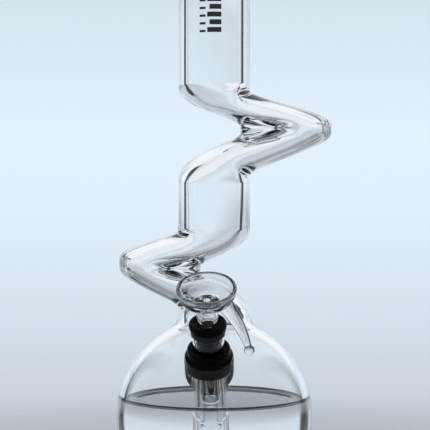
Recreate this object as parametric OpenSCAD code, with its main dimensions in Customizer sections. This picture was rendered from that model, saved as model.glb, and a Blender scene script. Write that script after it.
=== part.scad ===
// Kinked-tube glass water pipe: bubble base, folded tube, slanted downstem and pull-out slide bowl.
// The origin is the centre of the flat foot, +Z is up, +X is the side of the upper kink and -Y the front.

/* [Tube] */
// Outside diameter of the main tube
tube_d = 38; // [37:0.5:39]
// Wall of the main tube
tube_wall = 4.75; // [4.5:0.05:5]
// Height of the mouth above the foot
mouth_z = 305; // [285:5:330]
// Radius of the bead round the mouth
bead_r = 2.6; // [2.4:0.1:3]

/* [Bubble] */
// Outside diameter of the bubble
bubble_d = 104; // [103:0.5:105]
// Wall of the bubble
bubble_wall = 4; // [3.8:0.1:4.2]
// Height of the bubble's centre
bubble_z = 45; // [44:0.5:46]
// Height of the water surface
water_z = 53; // [50:0.5:55]

/* [Kinks] */
// Height of the upper kink's tip
upper_tip_z = 196.3; // [196:0.1:197]
// Reach of the upper kink's tip from the tube's axis
upper_reach = 62.5; // [61:0.5:64]
// Height of the lower kink's tip
lower_tip_z = 126; // [125.5:0.1:126.5]
// Reach of the lower kink's tip from the tube's axis
lower_reach = 50.9; // [50:0.5:52]
// Wall through the folded arms
kink_wall = 3.9; // [3.5:0.1:4.2]

/* [Stem] */
// Slant of the stem from upright
stem_tilt = 30; // [29:0.5:31]
// Outside diameter of the stem collar
collar_d = 25; // [24.5:0.1:25.4]
// Bore of the stem collar
collar_bore = 19.6; // [19.4:0.1:19.8]
// Outside diameter of the downstem
downstem_d = 16; // [15.8:0.1:16.2]
// Bore of the downstem
downstem_bore = 11.4; // [11.2:0.1:11.6]
// Outside diameter of the slide's stem
slide_d = 9.6; // [9.4:0.1:9.7]
// Bore of the slide's stem
slide_bore = 6; // [5.5:0.1:6.2]

/* [Bowl] */
// Diameter over the bowl's rim
bowl_d = 29.6; // [29:0.1:30.2]
// Radius of the ball that ends the handle
ball_r = 2.7; // [2.5:0.1:3]

/* [Hidden] */

$fn = 96;
tube_r = tube_d / 2;
bore_r = tube_r - tube_wall;
bubble_r = bubble_d / 2;
inner_r = bubble_r - bubble_wall;
bubble_top_z = bubble_z + 43;
neck_top_z = 101;
middle_z0 = 143.5;
middle_z1 = 167.5;
top_z0 = 220.5;
weld_r = 6;
foot_r = 6;
floor_wall = 5;
glass = [0.86, 0.93, 0.97, 0.35];
rubber = [0.02, 0.02, 0.022];

// Stem frame: its origin is a point on the stem's axis, and s runs up along the axis.
stem_origin = [0, -47.6, 84.1];
collar_s0 = -30;
collar_s1 = -4.5;
stem_end_s = -82;
lip_s0 = 8;
lip_s1 = 13;
slide_end_s = -47;
bell_s0 = 16.6;
neck_s = 27.2;
rim_s = 36;
flange_r = 10.8;
slide_flange_r = 9.4;
fit_gap = 0.05;
plug_s = -12;
ball_at = [20.5, -8, 5.5];

// ---- curve helpers ----

function arc(cx, cy, r, a0, a1, n) =
    [for (i = [0:n]) let (a = a0 + (a1 - a0) * i / n) [cx + r * cos(a), cy + r * sin(a)]];

// Larger of two values, rounded over the width k where they cross.
function soft_max(a, b, k) = let (h = max(k - abs(a - b), 0) / k) max(a, b) + h * h * k / 4;

function backwards(list) = [for (i = [len(list) - 1:-1:0]) list[i]];

// Edge of a folded tube at the height h from the fold: straight side, slanted arm, rounded end.
// arm = [where the arm's line would meet the fold, its run per mm of height, rounding at the side].
function fold_edge(h, side, end, arm) = let (blunt = (arm[0] - end) / arm[1])
    soft_max(side, arm[0] - arm[1] * pow(pow(h, 4) + pow(blunt, 4), 0.25), arm[2]);

module in_stem_frame() {
    translate(stem_origin) rotate([stem_tilt, 0, 0]) children();
}

// One closed skin through a loop of rings, each a list of m points.
module ring_skin(rings) {
    m = len(rings[0]);
    n = len(rings);
    polyhedron(
        points = [for (r = rings) each r],
        faces = [for (i = [0:n - 1]) for (j = [0:m - 1])
            let (a = i * m + j, b = i * m + (j + 1) % m)
            let (c = ((i + 1) % n) * m + (j + 1) % m, d = ((i + 1) % n) * m + j)
            each [[a, b, c], [a, c, d]]],
        convexity = 8);
}

// Elliptical ring across a fold, from the notch point n to the tip point t, both [x, z].
// side = -1 mirrors it.
function fold_ring(n, t, depth, side, m) =
    [for (j = [0:m - 1]) let (a = -360 * j / m, c = (n + t) / 2 + (t - n) / 2 * cos(a))
        [side * c[0], side * depth * sin(a), c[1]]];

// The point that lies the fraction f along a line of points, by length.
function along(pts, f) =
    let (runs = [for (i = 0, s = 0; i < len(pts);
                 s = s + (i + 1 < len(pts) ? norm(pts[i + 1] - pts[i]) : 0), i = i + 1) s])
    let (at = f * runs[len(runs) - 1])
    [for (k = [0, 1]) lookup(at, [for (i = [0:len(pts) - 1]) [runs[i], pts[i][k]]])];

// ---- kinks ----

kink_sides = 36;
kink_rings = 17;
edge_points = 40;
// How far the notch's end of a ring runs ahead of its tip end, which tilts the rings square to the arms.
kink_lead = 1.7;

// An arm moved inwards by the wall w, measured square to the arm.
function inset(arm, w) = [arm[0] + w * sqrt(1 + arm[1] * arm[1]), arm[1], arm[2]];

// A kink is [tip height, drop of the notch below it, reach, notch x, crease x, side].
// Its arms are [[arm above, arm below] at the notch, the same at the tip], with the tip on the right.
upper_fold = [upper_tip_z, 0, upper_reach, 14.1, 32, 1];
upper_arms = [[[22.9, 2.6, 14], [23.4, 2.6, 25]], [[90.5, 3.78, 14], [77, 2.55, 6]]];
lower_fold = [lower_tip_z, 3.7, lower_reach, 7.4, 23, -1];
lower_arms = [[[14.4, 2.41, 16], [14.4, 2.3, 20]], [[71.5, 3.33, 10], [67, 2.1, 5]]];

function notch_x(h, fold, arm, inner) = inner
    ? fold_edge(h, -bore_r, fold[4], inset(arm, kink_wall))
    : fold_edge(h, -tube_r, fold[3], arm);
function tip_x(h, fold, arm, inner) = inner
    ? fold_edge(h, bore_r, fold[2] - kink_wall, inset(arm, -kink_wall))
    : fold_edge(h, tube_r, fold[2], arm);

// Rings from the kink's end at the height z0 up to the fold itself. half is 0 above the fold and 1 below.
function half_rings(z0, fold, arms, half, inner) =
    let (notch_z = fold[0] - fold[1], tip_z = fold[0], n = edge_points)
    let (notch = [for (i = [0:n]) let (z = z0 + (notch_z - z0) * i / n)
        [notch_x(z - notch_z, fold, arms[0][half], inner), z]])
    let (tip = [for (i = [0:n]) let (z = z0 + (tip_z - z0) * i / n)
        [tip_x(z - tip_z, fold, arms[1][half], inner), z]])
    [for (i = [0:kink_rings]) let (t = i / kink_rings)
        fold_ring(along(notch, 1 - pow(1 - t, kink_lead)), along(tip, pow(t, kink_lead)),
                  inner ? bore_r : tube_r, fold[5], kink_sides)];

function kink_skin(z0, z1, fold, arms, inner) =
    concat(half_rings(z0, fold, arms, 1, inner),
           backwards([for (i = [0:kink_rings - 1]) half_rings(z1, fold, arms, 0, inner)[i]]));

module kink(z0, z1, fold, arms) {
    color(glass) ring_skin(concat(kink_skin(z0, z1, fold, arms, false),
                                  backwards(kink_skin(z0, z1, fold, arms, true))));
}

module upper_kink() {
    kink(middle_z1, top_z0, upper_fold, upper_arms);
}

module lower_kink() {
    kink(neck_top_z, middle_z0, lower_fold, lower_arms);
}

// ---- straight tubes ----

module straight_tube(z0, z1) {
    translate([0, 0, z0]) difference() {
        cylinder(r = tube_r, h = z1 - z0);
        translate([0, 0, -1]) cylinder(r = bore_r, h = z1 - z0 + 2);
    }
}

module middle_tube() {
    color(glass) straight_tube(middle_z0, middle_z1);
}

module top_tube() {
    color(glass) straight_tube(top_z0, mouth_z - bead_r);
}

// Fire-polished bead: the tube's end thickened outwards and rounded over.
module mouth_lip() {
    w = tube_wall / 2;
    color(glass) translate([0, 0, mouth_z - bead_r]) rotate_extrude()
        polygon(concat([[bore_r, 0]], arc(bore_r + w, 0, w, 180, 90, 8),
                       arc(tube_r - w + 0.4, 0, w, 90, 0, 8), [[tube_r, 0]]));
}

// ---- bubble ----

// The weld's fillet touches the tube and the bubble; this is its centre height.
function weld_z(tube, ball, r) = bubble_z + sqrt(pow(ball + r, 2) - pow(tube + r, 2));
function weld_low_angle(tube, ball, r) = 180 + acos((tube + r) / (ball + r));

module neck_root() {
    zo = weld_z(tube_r, bubble_r, weld_r);
    zi = weld_z(bore_r, inner_r, weld_r + tube_wall);
    ri = weld_r + tube_wall;
    ao = weld_low_angle(tube_r, bubble_r, weld_r);
    ai = weld_low_angle(bore_r, inner_r, ri);
    top_o = asin((bubble_top_z - bubble_z) / bubble_r);
    top_i = asin((bubble_top_z - bubble_z) / inner_r);
    color(glass) rotate_extrude() polygon(concat(
        [[bore_r, neck_top_z], [tube_r, neck_top_z]],
        arc(tube_r + weld_r, zo, weld_r, 180, ao, 8),
        arc(0, bubble_z, bubble_r, acos((tube_r + weld_r) / (bubble_r + weld_r)) - 1, top_o, 4),
        arc(0, bubble_z, inner_r, top_i, acos((bore_r + ri) / (inner_r + ri)) - 1, 4),
        arc(bore_r + ri, zi, ri, ai, 180, 10)));
}

// Half outline of the bubble's outside, from the foot's middle up to the neck root.
function bubble_outside() =
    let (cz = foot_r, cr = sqrt(pow(bubble_r - foot_r, 2) - pow(bubble_z - foot_r, 2)))
    let (a = atan2(cz - bubble_z, cr))
    concat([[0, 0]], arc(cr, cz, foot_r, -90, a, 6),
           arc(0, bubble_z, bubble_r, a + 2, asin((bubble_top_z - bubble_z) / bubble_r), 30));

function bubble_inside() =
    let (cz = floor_wall + foot_r, cr = sqrt(pow(inner_r - foot_r, 2) - pow(bubble_z - cz, 2)))
    let (a = atan2(cz - bubble_z, cr))
    concat([[0, floor_wall]], arc(cr, cz, foot_r, -90, a, 6),
           arc(0, bubble_z, inner_r, a + 2, asin((bubble_top_z - bubble_z) / inner_r), 30));

module base_bubble() {
    color(glass) difference() {
        rotate_extrude() polygon(concat(bubble_outside(), backwards(bubble_inside())));
        in_stem_frame() translate([0, 0, collar_s0]) cylinder(d = collar_d, h = 40);
    }
}

// The collar is cut off inside the bubble level with its inner wall.
module stem_collar() {
    color(glass) difference() {
        in_stem_frame() translate([0, 0, collar_s0]) difference() {
            cylinder(d = collar_d, h = collar_s1 - collar_s0);
            translate([0, 0, -1]) cylinder(d = collar_bore, h = collar_s1 - collar_s0 + 2);
        }
        translate([0, 0, bubble_z]) sphere(r = inner_r);
    }
}

module water_fill() {
    inside = bubble_inside();
    gap = 0.05;
    channel_gap = 0.3;
    low = [for (p = inside) if (p[1] < water_z) p];
    top_r = sqrt(pow(inner_r, 2) - pow(water_z - bubble_z, 2));
    color([0.75, 0.85, 0.9, 0.35]) difference() {
        rotate_extrude() polygon(concat([[0, floor_wall + gap]],
            [for (p = low) if (p[0] > 0) [p[0] - gap, p[1] + gap]],
            [[top_r - gap, water_z], [0, water_z]]));
        in_stem_frame() translate([0, 0, stem_end_s - 1]) cylinder(d = downstem_d + 2 * channel_gap, h = 80);
    }
}

// ---- printed mark: rows of plain bars and dots on the front of the top tube ----

mark_z0 = 246;
mark_pitch = 4;
mark_rows = 8;
mark_t = 0.12;

module mark_bar(x, z, w, h) {
    intersection() {
        difference() {
            translate([0, 0, z]) cylinder(r = tube_r + mark_t, h = h);
            translate([0, 0, z - 1]) cylinder(r = tube_r + 0.01, h = h + 2);
        }
        translate([x, -tube_r - 2, z]) cube([w, tube_r, h]);
    }
}

module printed_mark() {
    color([0.12, 0.09, 0.09]) for (i = [0:mark_rows - 1]) {
        z = mark_z0 + i * mark_pitch;
        mark_bar(-6.6, z, 3.2, 1.2);
        mark_bar(-2.6 + (i % 2) * 1.2, z, 7.4 - (i % 2) * 1.2, 2.6);
    }
}

// ---- stem parts ----

module tube_between(d, bore, s0, s1) {
    translate([0, 0, s0]) difference() {
        cylinder(d = d, h = s1 - s0);
        translate([0, 0, -1]) cylinder(d = bore, h = s1 - s0 + 2);
    }
}

module stem_grommet() {
    in_d = downstem_d + 2 * fit_gap;
    plug_r = collar_bore / 2 - fit_gap;
    color(rubber) in_stem_frame() rotate_extrude() polygon([
        [in_d / 2, plug_s], [plug_r - 0.6, plug_s], [plug_r, plug_s + 0.6], [plug_r, collar_s1 + 0.05],
        [flange_r + 1, collar_s1 + 0.05], [flange_r + 1.4, -4], [flange_r + 1.4, -3.4],
        [flange_r, -2.6], [flange_r, 0.7], [flange_r - 0.6, 1.3], [in_d / 2, 1.3]]);
}

module downstem_tube() {
    color(glass) in_stem_frame() tube_between(downstem_d, downstem_bore, stem_end_s, lip_s0);
}

// Thickened mouth of the downstem, bored out to hold the slide grommet.
module downstem_lip() {
    color(glass) in_stem_frame() rotate_extrude() polygon(concat(
        [[downstem_bore / 2, lip_s0], [downstem_d / 2, lip_s0]],
        [[downstem_d / 2 + 0.8, lip_s0 + 0.8]],
        arc(downstem_d / 2, lip_s1 - 0.9, 0.9, 0, 90, 4),
        [[downstem_bore / 2 + 1.3, lip_s1], [downstem_bore / 2 + 1, lip_s0 + 1.6],
         [downstem_bore / 2, lip_s0 + 0.6]]));
}

module slide_grommet() {
    in_r = slide_d / 2 + fit_gap;
    sleeve_r = downstem_bore / 2 - fit_gap;
    color(rubber) in_stem_frame() rotate_extrude() polygon([
        [in_r, lip_s0 - 8], [sleeve_r, lip_s0 - 8], [sleeve_r, lip_s0 + 0.6],
        [sleeve_r + 0.9, lip_s0 + 2], [sleeve_r + 1.2, lip_s1 + 0.05],
        [slide_flange_r - 0.7, lip_s1 + 0.05],
        [slide_flange_r, lip_s1 + 0.8], [slide_flange_r, lip_s1 + 2.6],
        [slide_flange_r - 0.7, lip_s1 + 3.3], [in_r, lip_s1 + 3.3]]);
}

module bowl_stem() {
    color(glass) in_stem_frame() tube_between(slide_d, slide_bore, slide_end_s, bell_s0);
}

drain_r = 1.8;
bell_r0 = 5.6;
bell_r1 = 6.35;
bell_waist = 0.4;
bell_edge = 0.4;

// Waisted bell between the slide's stem and the dish, narrowing inside to the bowl's drain hole.
module bowl_bell() {
    s0 = bell_s0 + bell_edge;
    color(glass) in_stem_frame() rotate_extrude() polygon(concat(
        [[slide_bore / 2, bell_s0], [bell_r0 - 0.3, bell_s0]],
        [for (i = [0:10]) let (t = i / 10)
            [bell_r0 + (bell_r1 - bell_r0) * t * t - bell_waist * sin(180 * t), s0 + (neck_s - s0) * t]],
        [[drain_r, neck_s], [drain_r + 0.4, neck_s - 2.5], [slide_bore / 2, neck_s - 4.5]]));
}

dish_steps = 14;
dish_wall = 1.9;
dish_floor = 2.2;

function dish_outside() = [for (i = [0:dish_steps]) let (a = 90 * i / dish_steps)
    [bell_r1 + (bowl_d / 2 - bell_r1) * pow(sin(a), 0.9),
     neck_s + (rim_s - neck_s) * (1 - pow(cos(a), 1.1))]];

// Shallow dish with a drilled floor and a rounded rim.
module bowl_dish() {
    rim_r = bowl_d / 2;
    mid_r = rim_r - dish_wall / 2;
    floor_s = neck_s + dish_floor;
    color(glass) in_stem_frame() rotate_extrude() polygon(concat(
        [[drain_r, neck_s]],
        dish_outside(),
        arc(mid_r, rim_s, dish_wall / 2, 15, 165, 6),
        [for (i = [dish_steps:-1:0]) let (a = 90 * i / dish_steps)
            [drain_r + (rim_r - dish_wall - drain_r) * pow(sin(a), 0.85),
             floor_s + (rim_s - floor_s) * (1 - pow(cos(a), 0.85))]]));
}

// Horn handle: straight tapering limbs along a bowed line from the dish's underside to the ball.
handle_root = [9.2, -2.6, 28.6];
handle_root_r = 4.2;
handle_tip_r = 1.5;
handle_limbs = 6;

function bow(t) = let (p = handle_root + (ball_at - handle_root) * t)
    p + [1.6 * sin(180 * t), -0.8 * sin(180 * t), 0];
function bow_r(t) = handle_root_r + (handle_tip_r - handle_root_r) * pow(t, 0.85);

module bowl_handle() {
    color(glass) in_stem_frame() difference() {
        for (i = [0:handle_limbs - 1]) hull() {
            translate(bow(i / handle_limbs)) sphere(r = bow_r(i / handle_limbs), $fn = 24);
            translate(bow((i + 1) / handle_limbs)) sphere(r = bow_r((i + 1) / handle_limbs), $fn = 24);
        }
        rotate_extrude() polygon(concat([[0, neck_s - 6], [bell_r1 - 0.25, neck_s - 6]],
                                        dish_outside(), [[0, rim_s]]));
        translate(ball_at) sphere(r = ball_r, $fn = 24);
    }
}

module handle_ball() {
    color(glass) in_stem_frame() translate(ball_at) sphere(r = ball_r, $fn = 48);
}

base_bubble();
neck_root();
lower_kink();
middle_tube();
upper_kink();
top_tube();
mouth_lip();
stem_collar();
printed_mark();
water_fill();
stem_grommet();
downstem_tube();
downstem_lip();
slide_grommet();
bowl_dish();
bowl_bell();
bowl_stem();
bowl_handle();
handle_ball();
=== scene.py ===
import math

import bmesh
import bpy
import numpy as np
from mathutils import Matrix, Vector

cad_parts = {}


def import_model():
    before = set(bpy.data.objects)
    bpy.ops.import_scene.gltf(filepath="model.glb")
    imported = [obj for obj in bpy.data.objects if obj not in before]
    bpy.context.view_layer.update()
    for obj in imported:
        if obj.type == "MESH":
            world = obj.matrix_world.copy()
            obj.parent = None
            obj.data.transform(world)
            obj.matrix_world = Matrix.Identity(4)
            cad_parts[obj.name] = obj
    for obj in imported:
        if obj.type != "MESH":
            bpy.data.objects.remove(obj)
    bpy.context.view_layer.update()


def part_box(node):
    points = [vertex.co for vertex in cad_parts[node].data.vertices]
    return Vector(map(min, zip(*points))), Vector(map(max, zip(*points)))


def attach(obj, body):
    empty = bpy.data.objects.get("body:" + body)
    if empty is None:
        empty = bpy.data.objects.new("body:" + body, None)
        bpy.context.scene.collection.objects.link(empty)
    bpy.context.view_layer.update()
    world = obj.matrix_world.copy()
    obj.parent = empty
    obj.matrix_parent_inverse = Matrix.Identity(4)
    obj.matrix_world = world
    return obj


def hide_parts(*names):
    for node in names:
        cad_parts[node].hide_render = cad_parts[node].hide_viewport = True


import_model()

MM = 0.001

# ---- sizes, in millimetres as in the CAD ----

TUBE_R = 19.0
BORE_R = 14.25
BUBBLE_R = 52.0
BUBBLE_WALL = 4.0
INNER_R = BUBBLE_R - BUBBLE_WALL
BUBBLE_Z = 45.0
FOOT_R = 6.0
FLOOR_WALL = 5.0
WELD_R = 6.0
NECK_TOP_Z = 101.0
MIDDLE_Z0 = 143.5
MIDDLE_Z1 = 167.5
TOP_Z0 = 220.5
MOUTH_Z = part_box("mouth_lip")[1][2] / MM
KINK_WALL = 3.9
WATER_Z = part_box("water_fill")[1][2] / MM
# The water's edge climbs the glass by this much, and has fallen level this far from it.
MENISCUS = 1.7
MENISCUS_RUN = 7.0
MENISCUS_FALL = 1.5

UPPER = dict(z=196.3, reach=62.5, notch_x=14.1, crease_x=32.0, drop=0.0, flip=1,
             notch=((22.9, 2.6, 14), (23.4, 2.6, 25)), tip=((90.5, 3.78, 14), (77, 2.55, 6)))
LOWER = dict(z=126.0, reach=50.9, notch_x=7.4, crease_x=23.0, drop=3.7, flip=-1,
             notch=((14.4, 2.41, 16), (14.4, 2.3, 20)), tip=((71.5, 3.33, 10), (67, 2.1, 5)))

STEM_ORIGIN = Vector((0, -47.6, 84.1))
STEM_TILT = math.radians(30)
COLLAR_R = 12.5
COLLAR_BORE_R = 9.8
COLLAR_FOOT_S = -30.0
COLLAR_TOP_S = -4.5
STEM_END_S = -82.0
DOWNSTEM_R = 8.0
DOWNSTEM_BORE_R = 5.7
LIP_S0 = 8.0
LIP_S1 = 13.0
SLIDE_R = 4.8
SLIDE_BORE_R = 3.0
SLIDE_END_S = -47.0
BELL_S0 = 16.6
NECK_S = 27.2
RIM_S = 36.0
BOWL_R = 14.8
DISH_WALL = 1.9
DISH_FLOOR = 2.2
DRAIN_R = 1.8
BELL_R0 = 5.6
BELL_R1 = 6.35
BELL_WAIST = 0.4
BELL_EDGE = 0.4
FLANGE_R = 10.8
SLIDE_FLANGE_R = 9.4
GAP = 0.05
# The plug is pressed onto the collar's bore, so no air shows between rubber and glass.
SQUEEZE = 0.02
PLUG_S = -12.0

SIDES = 192
KINK_STEPS = 70
KINK_LEAD = 1.7
# Shallow ripples that the folding leaves in the glass, inside each kink's tip.
RIPPLE = 0.012
RIPPLE_PITCH = 2.8
RIPPLE_REACH = 12.0

# ---- curves ----


def arc(cx, cy, r, a0, a1, n):
    turns = [math.radians(a0 + (a1 - a0) * i / n) for i in range(n + 1)]
    return [(cx + r * math.cos(a), cy + r * math.sin(a)) for a in turns]


def soft_max(a, b, k):
    h = max(k - abs(a - b), 0) / k
    return max(a, b) + h * h * k / 4


def fold_edge(h, side, end, arm):
    blunt = (arm[0] - end) / arm[1]
    return soft_max(side, arm[0] - arm[1] * (h ** 4 + blunt ** 4) ** 0.25, arm[2])


def inset(arm, w):
    return (arm[0] + w * math.hypot(1, arm[1]), arm[1], arm[2])


def kink_edge(kink, which, half, z, inner):
    """The x of the kink's notch or tip at the height z, with the tip on the right."""
    arm = kink[which][half]
    if which == "notch":
        h = z - kink["z"] + kink["drop"]
        if inner:
            return fold_edge(h, -BORE_R, kink["crease_x"], inset(arm, KINK_WALL))
        return fold_edge(h, -TUBE_R, kink["notch_x"], arm)
    h = z - kink["z"]
    if inner:
        return fold_edge(h, BORE_R, kink["reach"] - KINK_WALL, inset(arm, -KINK_WALL))
    return fold_edge(h, TUBE_R, kink["reach"], arm)


def edge_line(kink, which, half, z0, inner):
    """Points along one edge from the kink's end at z0 to the fold, with their running length."""
    z1 = kink["z"] - (kink["drop"] if which == "notch" else 0)
    zs = [z0 + (z1 - z0) * i / 300 for i in range(301)]
    pts = np.array([(kink_edge(kink, which, half, z, inner), z) for z in zs])
    run = np.concatenate(([0], np.cumsum(np.hypot(*np.diff(pts, axis=0).T))))
    return pts, run / run[-1]


def along(line, f):
    pts, run = line
    return np.array((np.interp(f, run, pts[:, 0]), np.interp(f, run, pts[:, 1])))


def half_rings(kink, half, z0, inner, steps):
    """Rings from the kink's end to its fold. A ring's notch end leads, so rings tilt with the arms."""
    notch = edge_line(kink, "notch", half, z0, inner)
    tip = edge_line(kink, "tip", half, z0, inner)
    rings = []
    for i in range(steps + 1):
        t = i / steps
        n, p = along(notch, 1 - (1 - t) ** KINK_LEAD), along(tip, t ** KINK_LEAD)
        ripple = RIPPLE * max(0.0, (t - 0.45) / 0.55) if inner else 0.0
        rings.append(fold_ring(n, p, BORE_R if inner else TUBE_R, kink["flip"], ripple))
    return rings


def kink_rings(kink, z0, z1, inner, steps=KINK_STEPS):
    return half_rings(kink, 1, z0, inner, steps) + half_rings(kink, 0, z1, inner, steps)[:-1][::-1]


# ---- meshes ----


def ring(x0, x1, depth, z, sides=SIDES):
    out = []
    for j in range(sides):
        a = 2 * math.pi * j / sides
        out.append(((x0 + x1) / 2 + (x1 - x0) / 2 * math.cos(a), depth * math.sin(a), z))
    return out


def fold_ring(n, p, depth, flip, ripple):
    """Elliptical ring from the notch point n to the tip point p, both (x, z), rippled round the tip."""
    sides = SIDES
    out = []
    half = (p - n) / 2
    for j in range(sides):
        a = 2 * math.pi * j / sides
        u = flip * math.cos(a)
        from_tip = depth * abs(math.sin(a)) if u > 0 else RIPPLE_REACH
        fade = max(0.0, 1 - from_tip / RIPPLE_REACH)
        k = 1 + ripple * fade * math.cos(2 * math.pi * from_tip / RIPPLE_PITCH)
        c = (n + p) / 2 + half * u * k
        out.append((flip * c[0], depth * math.sin(a) * k, c[1]))
    return out


def round_ring(r, z, sides=SIDES):
    return ring(-r, r, r, z, sides)


def skin_object(name, rings, loop=False, place=None):
    """A smooth mesh through rings of points. A ring of one point is a pole."""
    bm = bmesh.new()
    place = place or Matrix.Identity(4)
    rows = [[bm.verts.new((place @ Vector(p)) * MM) for p in r] for r in rings]
    pairs = list(zip(rows, rows[1:] + rows[:1])) if loop else list(zip(rows, rows[1:]))
    for a, b in pairs:
        n = max(len(a), len(b))
        for j in range(n):
            k = (j + 1) % n
            if len(a) == 1:
                bm.faces.new((a[0], b[k], b[j]))
            elif len(b) == 1:
                bm.faces.new((a[j], a[k], b[0]))
            else:
                bm.faces.new((a[j], a[k], b[k], b[j]))
    bmesh.ops.recalc_face_normals(bm, faces=bm.faces)
    mesh = bpy.data.meshes.new(name)
    bm.to_mesh(mesh)
    bm.free()
    for f in mesh.polygons:
        f.use_smooth = True
    obj = bpy.data.objects.new(name, mesh)
    bpy.context.scene.collection.objects.link(obj)
    return obj


def lathe(name, profile, sides=96, place=None, loop=True):
    rings = [[(0, 0, z)] if r < 1e-6 else round_ring(r, z, sides) for r, z in profile]
    return skin_object(name, rings, loop, place)


def combine(obj, other, how):
    """Boolean of obj with other, which is used up."""
    mod = obj.modifiers.new(how, "BOOLEAN")
    mod.operation = how
    mod.solver = "MANIFOLD"
    mod.object = other
    done = obj.evaluated_get(bpy.context.evaluated_depsgraph_get())
    mesh = bpy.data.meshes.new_from_object(done)
    obj.modifiers.clear()
    old = obj.data
    obj.data = mesh
    bpy.data.meshes.remove(old)
    bpy.data.objects.remove(other)
    mesh.name = obj.name
    return obj


def crease(obj, degrees=35):
    for f in obj.data.polygons:
        f.use_smooth = True
    obj.data.set_sharp_from_angle(angle=math.radians(degrees))


STEM = Matrix.Translation(STEM_ORIGIN) @ Matrix.Rotation(STEM_TILT, 4, "X")

# ---- materials ----


def new_material(name):
    mat = bpy.data.materials.new(name)
    mat.use_nodes = True
    nt = mat.node_tree
    return mat, nt, nt.nodes["Principled BSDF"]


def wavy(nt, bsdf, scale, distance):
    """Slow waves of hand-worked glass, as a bump of the given depth in metres."""
    place = nt.nodes.new("ShaderNodeTexCoord")
    noise = nt.nodes.new("ShaderNodeTexNoise")
    noise.inputs["Scale"].default_value = scale
    noise.inputs["Detail"].default_value = 1.0
    bump = nt.nodes.new("ShaderNodeBump")
    bump.inputs["Strength"].default_value = 1.0
    bump.inputs["Distance"].default_value = distance
    nt.links.new(place.outputs["Object"], noise.inputs["Vector"])
    nt.links.new(noise.outputs["Fac"], bump.inputs["Height"])
    nt.links.new(bump.outputs["Normal"], bsdf.inputs["Normal"])


def glass(name, ior, tint=(1, 1, 1), waves=0.00002):
    mat, nt, bsdf = new_material(name)
    bsdf.inputs["Base Color"].default_value = (*tint, 1)
    bsdf.inputs["Roughness"].default_value = 0.0
    bsdf.inputs["IOR"].default_value = ior
    bsdf.inputs["Transmission Weight"].default_value = 1.0
    if waves:
        wavy(nt, bsdf, 60.0, waves)
    return mat


def rubber(name):
    mat, nt, bsdf = new_material(name)
    place = nt.nodes.new("ShaderNodeTexCoord")
    noise = nt.nodes.new("ShaderNodeTexNoise")
    noise.inputs["Scale"].default_value = 900.0
    noise.inputs["Detail"].default_value = 6.0
    ramp = nt.nodes.new("ShaderNodeMapRange")
    ramp.inputs["To Min"].default_value = 0.16
    ramp.inputs["To Max"].default_value = 0.3
    bump = nt.nodes.new("ShaderNodeBump")
    bump.inputs["Strength"].default_value = 0.25
    bump.inputs["Distance"].default_value = 0.00004
    nt.links.new(place.outputs["Object"], noise.inputs["Vector"])
    nt.links.new(noise.outputs["Fac"], ramp.inputs["Value"])
    nt.links.new(ramp.outputs["Result"], bsdf.inputs["Roughness"])
    nt.links.new(noise.outputs["Fac"], bump.inputs["Height"])
    nt.links.new(bump.outputs["Normal"], bsdf.inputs["Normal"])
    bsdf.inputs["Base Color"].default_value = (0.0015, 0.0015, 0.0018, 1)
    bsdf.inputs["Specular IOR Level"].default_value = 0.05
    return mat


def ink(name):
    mat, nt, bsdf = new_material(name)
    place = nt.nodes.new("ShaderNodeTexCoord")
    noise = nt.nodes.new("ShaderNodeTexNoise")
    noise.inputs["Scale"].default_value = 700.0
    ramp = nt.nodes.new("ShaderNodeValToRGB")
    ramp.color_ramp.elements[0].color = (0.028, 0.018, 0.017, 1)
    ramp.color_ramp.elements[1].color = (0.045, 0.032, 0.03, 1)
    nt.links.new(place.outputs["Object"], noise.inputs["Vector"])
    nt.links.new(noise.outputs["Fac"], ramp.inputs["Fac"])
    nt.links.new(ramp.outputs["Color"], bsdf.inputs["Base Color"])
    bsdf.inputs["Roughness"].default_value = 0.45
    return mat


def unseen(name):
    mat, nt, bsdf = new_material(name)
    bsdf.inputs["Base Color"].default_value = (0.8, 0.9, 0.95, 1)
    bsdf.inputs["Alpha"].default_value = 0.0
    bsdf.inputs["IOR"].default_value = 1.0
    return mat


GLASS_IOR = 1.47
WATER_IOR = 1.333
DRY = glass("borosilicate_glass", GLASS_IOR)
WET = glass("borosilicate_glass_under_water", GLASS_IOR / WATER_IOR)
SLIDE_DRY = glass("slide_glass", GLASS_IOR, (0.84, 0.86, 0.87))
SLIDE_WET = glass("slide_glass_under_water", GLASS_IOR / WATER_IOR, (0.84, 0.86, 0.87))
# The water's top lets only a tenth of the light through. This is painted shade that darkens the surface;
# the water itself is clear.
SHADE_PAINTED_WATER = glass("water", WATER_IOR, (0.1, 0.115, 0.12), 0)
SHADE_PAINTED_WATER.node_tree.nodes["Principled BSDF"].inputs["Specular IOR Level"].default_value = 0.1
RUBBER = rubber("black_rubber")
INK = ink("dark_ink")
UNSEEN = unseen("water_against_glass")


def wet_below(obj, top_z, wanted=lambda c: True, dry=DRY, wet=WET):
    """Gives the faces under water the interface of glass against water."""
    obj.data.materials.clear()
    obj.data.materials.append(dry)
    obj.data.materials.append(wet)
    for f in obj.data.polygons:
        f.material_index = 1 if f.center.z < top_z * MM and wanted(f.center) else 0


# ---- glass body ----


def bubble_profile(ball, foot_z, tube, weld):
    """Half outline from the foot's middle over the bubble and the weld, up to the tube's side."""
    cz = foot_z + FOOT_R
    cr = math.sqrt((ball - FOOT_R) ** 2 - (BUBBLE_Z - cz) ** 2)
    low = math.degrees(math.atan2(cz - BUBBLE_Z, cr))
    high = math.degrees(math.acos((tube + weld) / (ball + weld)))
    weld_z = BUBBLE_Z + math.sqrt((ball + weld) ** 2 - (tube + weld) ** 2)
    return ([(0, foot_z), (cr * 0.5, foot_z)] + arc(cr, cz, FOOT_R, -90, low, 10)
            + arc(0, BUBBLE_Z, ball, low, high, 110)[1:]
            + arc(tube + weld, weld_z, weld, 180 + high, 180, 16)[1:])


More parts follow.
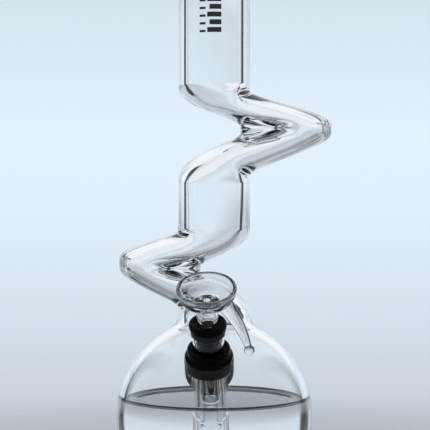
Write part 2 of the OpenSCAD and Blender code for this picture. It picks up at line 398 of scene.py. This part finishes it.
def tube_rings(inner):
    return (kink_rings(LOWER, NECK_TOP_Z, MIDDLE_Z0, inner)
            + kink_rings(UPPER, MIDDLE_Z1, TOP_Z0, inner))


def as_rings(profile):
    return [[(0, 0, z)] if r < 1e-6 else round_ring(r, z) for r, z in profile]


def mouth_outside():
    w = (TUBE_R - BORE_R) / 2
    z = MOUTH_Z - w
    bead = arc(TUBE_R - w + 0.4, z, w, 0, 90, 10)
    return [(TUBE_R, z - 3), (TUBE_R + 0.2, z - 1)] + bead + [(0, MOUTH_Z)]


def mouth_inside():
    w = (TUBE_R - BORE_R) / 2
    z = MOUTH_Z - w
    return arc(BORE_R + w, z, w, 180, 95, 8) + [(BORE_R + w, MOUTH_Z + 1), (0, MOUTH_Z + 1)]


def glass_body():
    body = skin_object("glass_body", as_rings(bubble_profile(BUBBLE_R, 0, TUBE_R, WELD_R))
                       + tube_rings(False) + as_rings(mouth_outside()))
    inner_bubble = bubble_profile(INNER_R, FLOOR_WALL, BORE_R, WELD_R + TUBE_R - BORE_R)
    cavity = skin_object("cavity", as_rings(inner_bubble) + tube_rings(True) + as_rings(mouth_inside()))
    w = (COLLAR_R - COLLAR_BORE_R) / 2
    rim_s, over_s = COLLAR_TOP_S - w, COLLAR_TOP_S + 2
    collar = lathe("collar", [(0, COLLAR_FOOT_S), (COLLAR_R, COLLAR_FOOT_S)]
                   + arc(COLLAR_R - w, rim_s, w, 0, 90, 6) + [(0, COLLAR_TOP_S)], 128, STEM, False)
    bore = lathe("bore", [(0, COLLAR_FOOT_S), (COLLAR_BORE_R, COLLAR_FOOT_S)]
                 + arc(COLLAR_BORE_R + w, rim_s, w, 180, 95, 6)
                 + [(COLLAR_R - w, over_s), (0, over_s)], 128, STEM, False)
    combine(body, collar, "UNION")
    combine(cavity, bore, "UNION")
    combine(body, cavity, "DIFFERENCE")
    crease(body)
    inside = (INNER_R + 0.6) * MM
    middle = Vector((0, 0, BUBBLE_Z * MM))
    wet_below(body, WATER_Z + MENISCUS,
              lambda c: (c - middle).length < inside and c.z > (FLOOR_WALL - 0.5) * MM)
    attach(body, "glass_body")
    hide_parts("base_bubble", "neck_root", "lower_kink", "middle_tube", "upper_kink",
                "top_tube", "mouth_lip", "stem_collar")
    return body


# ---- water ----


def water():
    gap = 0.03
    shell = bubble_profile(INNER_R - gap, FLOOR_WALL + gap, BORE_R, WELD_R + TUBE_R - BORE_R)
    low = [p for p in shell if p[1] < WATER_Z + MENISCUS - 0.3]
    edge = math.sqrt((INNER_R - gap) ** 2 - (WATER_Z + MENISCUS - BUBBLE_Z) ** 2)
    top = []
    left = math.exp(-MENISCUS_RUN / MENISCUS_FALL) / MENISCUS_RUN
    for i in range(26):
        d = MENISCUS_RUN * (i / 25) ** 2
        top.append((edge - d, WATER_Z + MENISCUS * (math.exp(-d / MENISCUS_FALL) - left * d)))
    top += [(edge * k, WATER_Z) for k in (0.7, 0.5, 0.3, 0.1)] + [(0, WATER_Z)]
    pool = lathe("water", low + top, 192, None, False)
    cut_r, cut_s = DOWNSTEM_R + gap, STEM_END_S - 0.5
    cut = lathe("cut", [(0, cut_s), (cut_r, cut_s), (cut_r, 0), (0, 0)], 96, STEM, False)
    combine(pool, cut, "DIFFERENCE")
    pool.data.materials.clear()
    pool.data.materials.append(SHADE_PAINTED_WATER)
    pool.data.materials.append(UNSEEN)
    for f in pool.data.polygons:
        f.material_index = 0 if f.center.z > (WATER_Z - 0.05) * MM and f.normal.z > 0.05 else 1
    crease(pool, 50)
    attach(pool, "glass_body")
    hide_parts("water_fill")
    return pool


# ---- stem parts ----


def downstem():
    w = (DOWNSTEM_R - DOWNSTEM_BORE_R) / 2
    lip = arc(DOWNSTEM_R - 0.1, LIP_S1 - 0.9, 0.9, 0, 90, 8)
    profile = (arc(DOWNSTEM_R - w, STEM_END_S + w, w, 180, 360, 16)
               + [(DOWNSTEM_R, s) for s in (-60, -40, -20, 0, LIP_S0 - 1)]
               + [(DOWNSTEM_R + 0.25, LIP_S0), (DOWNSTEM_R + 0.65, LIP_S0 + 1),
                  (DOWNSTEM_R + 0.8, LIP_S0 + 2)]
               + lip + [(DOWNSTEM_BORE_R + 1.5, LIP_S1), (DOWNSTEM_BORE_R + 1.3, LIP_S1 - 0.3),
                        (DOWNSTEM_BORE_R + 1.0, LIP_S0 + 1.6), (DOWNSTEM_BORE_R, LIP_S0 + 0.6)]
               + [(DOWNSTEM_BORE_R, s) for s in (0, -20, -40, -60)])
    obj = lathe("downstem", profile, 96, STEM)
    crease(obj, 40)
    wet_below(obj, WATER_Z + 1)
    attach(obj, "downstem")
    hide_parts("downstem_tube", "downstem_lip")
    return obj


def rounded(points, r=0.35, steps=4):
    """The closed profile with each corner cut back by r and rounded."""
    out = []
    n = len(points)
    for i, p in enumerate(points):
        p = Vector(p)
        a, b = Vector(points[i - 1]), Vector(points[(i + 1) % n])
        k = min(r, (a - p).length * 0.45, (b - p).length * 0.45)
        p0, p1 = p + (a - p).normalized() * k, p + (b - p).normalized() * k
        for t in (j / steps for j in range(steps + 1)):
            out.append(tuple(p0 * (1 - t) ** 2 + p * 2 * t * (1 - t) + p1 * t * t))
    return out


def stem_grommet():
    in_r = DOWNSTEM_R + GAP
    plug = COLLAR_BORE_R + SQUEEZE
    top = COLLAR_TOP_S + GAP
    obj = lathe("stem_grommet", rounded([
        (in_r, PLUG_S), (plug - 0.6, PLUG_S), (plug, PLUG_S + 0.6), (plug, top),
        (FLANGE_R + 1, top), (FLANGE_R + 1.4, -4), (FLANGE_R + 1.4, -3.4), (FLANGE_R, -2.6),
        (FLANGE_R, 0.7), (FLANGE_R - 0.6, 1.3), (in_r, 1.3)]), 96, STEM)
    crease(obj, 50)
    obj.data.materials.append(RUBBER)
    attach(obj, "stem_grommet")
    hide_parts("stem_grommet")
    return obj


def slide_grommet():
    in_r = SLIDE_R + GAP
    sleeve = DOWNSTEM_BORE_R - GAP
    top = LIP_S1 + GAP
    obj = lathe("slide_grommet", rounded([
        (in_r, LIP_S0 - 8), (sleeve, LIP_S0 - 8), (sleeve, LIP_S0 + 0.6), (sleeve + 0.9, LIP_S0 + 2),
        (sleeve + 1.2, top), (SLIDE_FLANGE_R - 0.7, top), (SLIDE_FLANGE_R, LIP_S1 + 0.8),
        (SLIDE_FLANGE_R, LIP_S1 + 2.6), (SLIDE_FLANGE_R - 0.7, LIP_S1 + 3.3),
        (in_r, LIP_S1 + 3.3)]), 96, STEM)
    crease(obj, 50)
    obj.data.materials.append(RUBBER)
    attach(obj, "slide_grommet")
    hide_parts("slide_grommet")
    return obj


def dish_profile():
    """The dish from the top of the bell over the rim and down the hollow to the drain."""
    depth = RIM_S - NECK_S
    turns = [math.pi / 2 * i / 24 for i in range(25)]
    outside = [(BELL_R1 + (BOWL_R - BELL_R1) * math.sin(t) ** 0.9,
                NECK_S + depth * (1 - math.cos(t) ** 1.1)) for t in turns]
    inside = [(DRAIN_R + (BOWL_R - DISH_WALL - DRAIN_R) * math.sin(t) ** 0.85,
               NECK_S + DISH_FLOOR + (depth - DISH_FLOOR) * (1 - math.cos(t) ** 0.85)) for t in turns]
    rim = arc(BOWL_R - DISH_WALL / 2, RIM_S, DISH_WALL / 2, 0, 180, 12)
    return outside[:-1] + rim + inside[::-1][1:]


def slide():
    w = (SLIDE_R - SLIDE_BORE_R) / 2
    bell = []
    bell_s = BELL_S0 + BELL_EDGE
    for i in range(13):
        t = i / 12
        r = BELL_R0 + (BELL_R1 - BELL_R0) * t * t - BELL_WAIST * math.sin(math.pi * t)
        bell.append((r, bell_s + (NECK_S - bell_s) * t))
    profile = (arc(SLIDE_R - w, SLIDE_END_S + w, w, 180, 360, 12)
               + [(SLIDE_R, s) for s in (-30, -10, 10, BELL_S0 - 0.3)]
               + [(BELL_R0 - BELL_EDGE, BELL_S0)] + bell[:-1] + dish_profile()
               + [(DRAIN_R, NECK_S), (DRAIN_R + 0.4, NECK_S - 2.5), (SLIDE_BORE_R, NECK_S - 4.5)]
               + [(SLIDE_BORE_R, s) for s in (10, -10, -30)])
    obj = lathe("slide_bowl", profile, 128, STEM)
    combine(obj, handle(), "UNION")
    crease(obj, 40)
    wet_below(obj, WATER_Z + 1, dry=SLIDE_DRY, wet=SLIDE_WET)
    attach(obj, "slide")
    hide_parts("bowl_dish", "bowl_bell", "bowl_stem", "bowl_handle", "handle_ball")
    return obj


HANDLE_ROOT = Vector((9.2, -2.6, 28.6))
HANDLE_ROOT_R = 4.2
HANDLE_TIP_R = 1.5
BALL_AT = Vector((20.5, -8, 5.5))
BALL_R = 2.7


def bow(t):
    lift = math.sin(math.pi * t)
    return HANDLE_ROOT + (BALL_AT - HANDLE_ROOT) * t + Vector((1.6 * lift, -0.8 * lift, 0))


def handle():
    """Tapering horn from the dish's underside to the ball, as one skin of rings."""
    steps = 40
    rings = []
    along = (BALL_AT - HANDLE_ROOT).length
    for i in range(steps + 1):
        t = i / steps * (1 - BALL_R * 0.8 / along)
        direction = (bow(t + 0.01) - bow(t - 0.01)).normalized()
        side = direction.cross(Vector((0, 1, 0))).normalized()
        up = side.cross(direction)
        r = HANDLE_ROOT_R + (HANDLE_TIP_R - HANDLE_ROOT_R) * t ** 0.85
        rings.append([bow(t) + side * r * math.cos(a) + up * r * math.sin(a)
                      for a in (2 * math.pi * j / 48 for j in range(48))])
    horn = skin_object("horn", [[bow(0)]] + rings + [[bow(1 - BALL_R * 0.7 / along)]], False, STEM)
    ball = lathe("ball", [(0, -BALL_R)] + arc(0, 0, BALL_R, -85, 85, 24) + [(0, BALL_R)], 48,
                 STEM @ Matrix.Translation(BALL_AT), False)
    return combine(horn, ball, "UNION")


# ---- make the object ----

glass_body()
water()
downstem()
stem_grommet()
slide_grommet()
slide()
mark = bpy.data.objects["printed_mark"]
mark.data.materials.clear()
mark.data.materials.append(INK)

# ---- stage ----

# Backdrop colours seen from the camera, by the sine of the view's elevation.
BACKDROP = (
    (-0.160, (0.545, 0.612, 0.680)),
    (-0.120, (0.600, 0.672, 0.752)),
    (-0.060, (0.680, 0.775, 0.860)),
    (0.000, (0.750, 0.868, 0.965)),
    (0.060, (0.765, 0.885, 0.990)),
    (0.160, (0.665, 0.765, 0.845)),
    (0.190, (0.920, 0.960, 1.000)))
BACKDROP_SPAN = 0.2
ROOM = (0.03, 0.027, 0.022)
FRONT_LEVEL = 0.42
# The dark screens stand where the sideways part of a direction is this much, give or take the half width.
SCREEN_X = 0.72
SCREEN_HALF = 0.06


def ramp_node(nt, stops, low, high):
    node = nt.nodes.new("ShaderNodeValToRGB")
    ramp = node.color_ramp
    while len(ramp.elements) > 1:
        ramp.elements.remove(ramp.elements[-1])
    for i, (at, colour) in enumerate(stops):
        place = (at - low) / (high - low)
        element = ramp.elements[0] if i == 0 else ramp.elements.new(place)
        element.position = place
        element.color = (*colour, 1)
    return node


def world():
    w = bpy.data.worlds.new("studio")
    bpy.context.scene.world = w
    w.use_nodes = True
    nt = w.node_tree
    back = nt.nodes["Background"]
    place = nt.nodes.new("ShaderNodeTexCoord")
    split = nt.nodes.new("ShaderNodeSeparateXYZ")
    nt.links.new(place.outputs["Generated"], split.inputs[0])
    shift = nt.nodes.new("ShaderNodeMapRange")
    shift.inputs["From Min"].default_value = -BACKDROP_SPAN
    shift.inputs["From Max"].default_value = BACKDROP_SPAN
    nt.links.new(split.outputs["Z"], shift.inputs["Value"])
    ramp = ramp_node(nt, BACKDROP, -BACKDROP_SPAN, BACKDROP_SPAN)
    nt.links.new(shift.outputs["Result"], ramp.inputs["Fac"])
    # What the glass bends and mirrors: a studio brightest behind the object, and dark screens aside.
    lit = nt.nodes.new("ShaderNodeMapRange")
    lit.interpolation_type = "SMOOTHSTEP"
    lit.inputs["From Min"].default_value = 0.0
    lit.inputs["From Max"].default_value = 0.5
    lit.inputs["To Min"].default_value = FRONT_LEVEL
    nt.links.new(split.outputs["Y"], lit.inputs["Value"])
    aside = nt.nodes.new("ShaderNodeMath")
    aside.operation = "ABSOLUTE"
    nt.links.new(split.outputs["X"], aside.inputs[0])
    from_screen = nt.nodes.new("ShaderNodeMath")
    from_screen.operation = "SUBTRACT"
    from_screen.inputs[1].default_value = SCREEN_X
    nt.links.new(aside.outputs[0], from_screen.inputs[0])
    away = nt.nodes.new("ShaderNodeMath")
    away.operation = "ABSOLUTE"
    nt.links.new(from_screen.outputs[0], away.inputs[0])
    front = nt.nodes.new("ShaderNodeMapRange")
    front.inputs["From Min"].default_value = 0.1
    front.inputs["From Max"].default_value = -0.1
    nt.links.new(split.outputs["Y"], front.inputs["Value"])
    clear = nt.nodes.new("ShaderNodeMapRange")
    clear.interpolation_type = "SMOOTHSTEP"
    clear.inputs["From Min"].default_value = SCREEN_HALF
    clear.inputs["From Max"].default_value = SCREEN_HALF * 2
    nt.links.new(away.outputs[0], clear.inputs["Value"])
    nt.links.new(front.outputs["Result"], clear.inputs["To Min"])
    bright = nt.nodes.new("ShaderNodeMath")
    bright.operation = "MULTIPLY"
    nt.links.new(lit.outputs["Result"], bright.inputs[0])
    nt.links.new(clear.outputs["Result"], bright.inputs[1])
    seen = nt.nodes.new("ShaderNodeLightPath")
    level = nt.nodes.new("ShaderNodeMath")
    level.operation = "MAXIMUM"
    nt.links.new(bright.outputs[0], level.inputs[0])
    nt.links.new(seen.outputs["Is Camera Ray"], level.inputs[1])
    mix = nt.nodes.new("ShaderNodeMix")
    mix.data_type = "RGBA"
    mix.inputs["A"].default_value = (*ROOM, 1)
    nt.links.new(level.outputs[0], mix.inputs["Factor"])
    nt.links.new(ramp.outputs["Color"], mix.inputs["B"])
    nt.links.new(mix.outputs["Result"], back.inputs["Color"])


def floor():
    """A pale floor that fades into the backdrop away from the object."""
    mesh = bpy.data.meshes.new("floor")
    bm = bmesh.new()
    bmesh.ops.create_circle(bm, cap_ends=True, segments=96, radius=1.2)
    bm.to_mesh(mesh)
    bm.free()
    obj = bpy.data.objects.new("floor", mesh)
    bpy.context.scene.collection.objects.link(obj)
    mat, nt, bsdf = new_material("pale_floor")
    seen = nt.nodes.new("ShaderNodeLightPath")
    tone = nt.nodes.new("ShaderNodeMix")
    tone.data_type = "RGBA"
    tone.inputs["A"].default_value = (0.25, 0.26, 0.27, 1)
    tone.inputs["B"].default_value = (0.36, 0.385, 0.4, 1)
    nt.links.new(seen.outputs["Is Camera Ray"], tone.inputs["Factor"])
    nt.links.new(tone.outputs["Result"], bsdf.inputs["Base Color"])
    bsdf.inputs["Roughness"].default_value = 0.6
    place = nt.nodes.new("ShaderNodeTexCoord")
    length = nt.nodes.new("ShaderNodeVectorMath")
    length.operation = "LENGTH"
    fade = nt.nodes.new("ShaderNodeMapRange")
    fade.interpolation_type = "SMOOTHSTEP"
    fade.inputs["From Min"].default_value = 0.2
    fade.inputs["From Max"].default_value = 0.45
    fade.inputs["To Min"].default_value = 1.0
    fade.inputs["To Max"].default_value = 0.0
    nt.links.new(place.outputs["Object"], length.inputs[0])
    nt.links.new(length.outputs["Value"], fade.inputs["Value"])
    nt.links.new(fade.outputs["Result"], bsdf.inputs["Alpha"])
    obj.data.materials.append(mat)
    return obj


def softbox(name, at, target, size, power, in_glass=True):
    light = bpy.data.lights.new(name, "AREA")
    light.shape = "RECTANGLE"
    light.size, light.size_y = size
    light.energy = power
    obj = bpy.data.objects.new(name, light)
    bpy.context.scene.collection.objects.link(obj)
    obj.location = at
    obj.rotation_euler = (Vector(target) - Vector(at)).to_track_quat("-Z", "Y").to_euler()
    obj.visible_transmission = obj.visible_glossy = in_glass
    return obj


def camera():
    data = bpy.data.cameras.new("camera")
    obj = bpy.data.objects.new("camera", data)
    bpy.context.scene.collection.objects.link(obj)
    distance, turn, aim_z = 0.72, math.radians(3.3), 0.151
    obj.location = (distance * math.sin(turn) + 0.0004, -distance * math.cos(turn), aim_z)
    obj.rotation_euler = (math.radians(90), 0, turn)
    data.sensor_width = 36
    data.lens = 36 * distance / 0.2292
    bpy.context.scene.camera = obj
    return obj


bpy.context.scene.view_settings.view_transform = "Standard"
world()
floor()
softbox("top_light", (0, 0.3, 1.4), (0, 0, 0), (1.6, 1.2), 14, False)
softbox("left_light", (-0.9, -0.7, 0.7), (0, 0, 0.12), (0.15, 0.6), 2, False)
softbox("right_light", (0.9, -0.9, 0.6), (0, 0, 0.12), (0.1, 0.5), 2, False)
camera()
